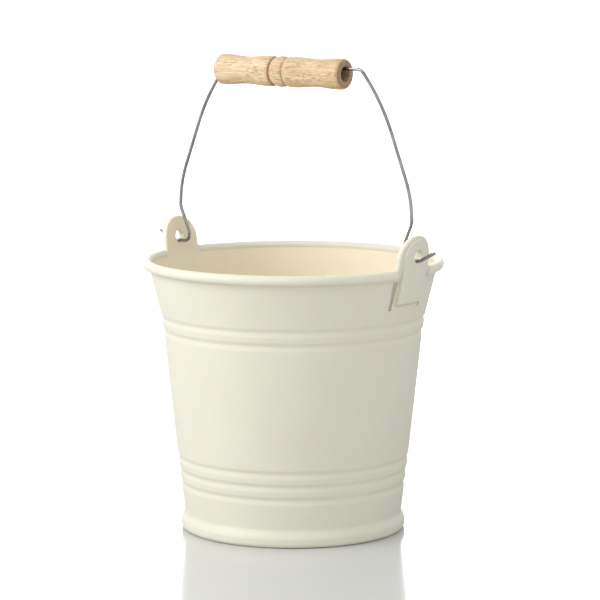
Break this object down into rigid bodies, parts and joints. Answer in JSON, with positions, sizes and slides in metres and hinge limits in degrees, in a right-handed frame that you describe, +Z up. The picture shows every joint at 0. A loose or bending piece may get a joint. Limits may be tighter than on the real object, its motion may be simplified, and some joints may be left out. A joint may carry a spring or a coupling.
{
  "type": "florist bucket",
  "caption": "Small moulded florist pail with a flared, ribbed wall, rolled rim and two ears, a swinging wire bail and a turned wooden grip.",
  "frame": {"origin": "centre of the foot ring on the surface the bucket stands on", "axes": "+Z up along the pail's axis, X through the two ears along the bail's hinge axis"},
  "size_m": [0.1866, 0.165, 0.2585],
  "materials": {
    "ivory_plastic": "moulded, matt, fine soft grain",
    "steel_wire": "bright drawn wire",
    "turned_wood": "turned, sanded, unvarnished"
  },
  "bodies": {
    "pail": {"bucket_body": "ivory_plastic"},
    "bail": {"bail_wire": "steel_wire"},
    "grip": {"wooden_grip": "turned_wood"}
  },
  "joints": [
    {"name": "bail_swing", "type": "hinge", "parent": "pail", "child": "bail", "pos_m": [0, 0, 0.1531], "axis": [1, 0, 0], "range_deg": [-97, 97]},
    {"name": "grip_spin", "type": "hinge", "parent": "bail", "child": "grip", "pos_m": [-0.00705, 0, 0.25015], "axis": [1, 0, 0], "continuous": true}
  ]
}
